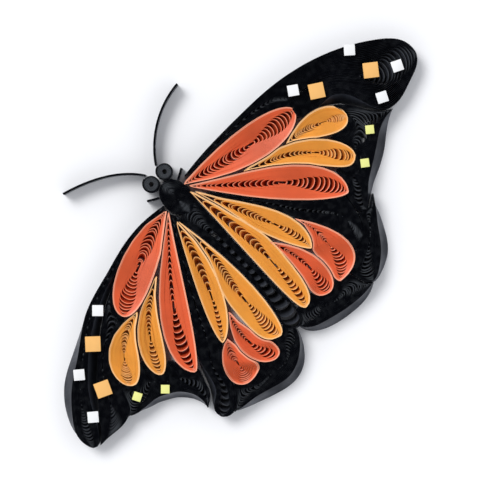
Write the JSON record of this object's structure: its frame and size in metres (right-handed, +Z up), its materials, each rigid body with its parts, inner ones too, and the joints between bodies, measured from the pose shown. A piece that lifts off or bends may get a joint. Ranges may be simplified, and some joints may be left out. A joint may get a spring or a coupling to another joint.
{
  "type": "quilled paper butterfly",
  "caption": "Butterfly of rolled and pinched paper strip coils glued side by side, orange wings with black margins and small paper squares, to lie flat.",
  "frame": {"origin": "on the underside, on the centre line of the body, where the wings are rooted", "axes": "+X across the wings towards the right wing, +Y along the body to the head, +Z up out of the faces that show"},
  "size_m": [0.0769, 0.0448, 0.0033],
  "materials": {
    "red_orange_paper": "matt coloured quilling paper, set on edge",
    "amber_paper": "matt coloured quilling paper, set on edge",
    "black_paper": "matt black quilling paper, set on edge",
    "white_paper": "matt white paper",
    "light_orange_paper": "matt light orange paper",
    "yellow_paper": "matt pale yellow paper"
  },
  "bodies": {
    "root": {"abdomen": "black_paper", "coil_between_left_wings": "black_paper", "coil_between_right_wings": "black_paper", "left_eye": "black_paper", "left_feeler": "black_paper", "left_forewing_leading_coil": "black_paper", "left_forewing_lower_orange_coil": "red_orange_paper", "left_forewing_margin_coil": "black_paper", "left_forewing_middle_amber_coil": "amber_paper", "left_forewing_outer_amber_coil": "amber_paper", "left_forewing_tip_coil": "black_paper", "left_forewing_upper_orange_coil": "red_orange_paper", "left_hindwing_lower_amber_coil": "amber_paper", "left_hindwing_margin_coil": "black_paper", "left_hindwing_middle_orange_coil": "red_orange_paper", "left_hindwing_outer_orange_coil": "red_orange_paper", "left_hindwing_upper_amber_coil": "amber_paper", "left_leg": "black_paper", "left_orange_square_1": "light_orange_paper", "left_orange_square_2": "light_orange_paper", "left_white_square_1": "white_paper", "left_white_square_2": "white_paper", "left_white_square_3": "white_paper", "left_yellow_square_1": "yellow_paper", "left_yellow_square_2": "yellow_paper", "right_eye": "black_paper", "right_feeler": "black_paper", "right_forewing_leading_coil": "black_paper", "right_forewing_lower_orange_coil": "red_orange_paper", "right_forewing_margin_coil": "black_paper", "right_forewing_middle_amber_coil": "amber_paper", "right_forewing_outer_amber_coil": "amber_paper", "right_forewing_upper_orange_coil": "red_orange_paper", "right_hindwing_lower_amber_coil": "amber_paper", "right_hindwing_lower_margin_coil": "black_paper", "right_hindwing_middle_orange_coil": "red_orange_paper", "right_hindwing_outer_orange_coil": "red_orange_paper", "right_hindwing_upper_amber_coil": "amber_paper", "right_hindwing_upper_margin_coil": "black_paper", "right_leg": "black_paper", "right_orange_square_1": "light_orange_paper", "right_orange_square_2": "light_orange_paper", "right_white_square_1": "white_paper", "right_white_square_2": "white_paper", "right_white_square_3": "white_paper", "right_white_square_4": "white_paper", "right_yellow_square_1": "yellow_paper", "right_yellow_square_2": "yellow_paper", "thorax": "black_paper"}
  },
  "joints": []
}
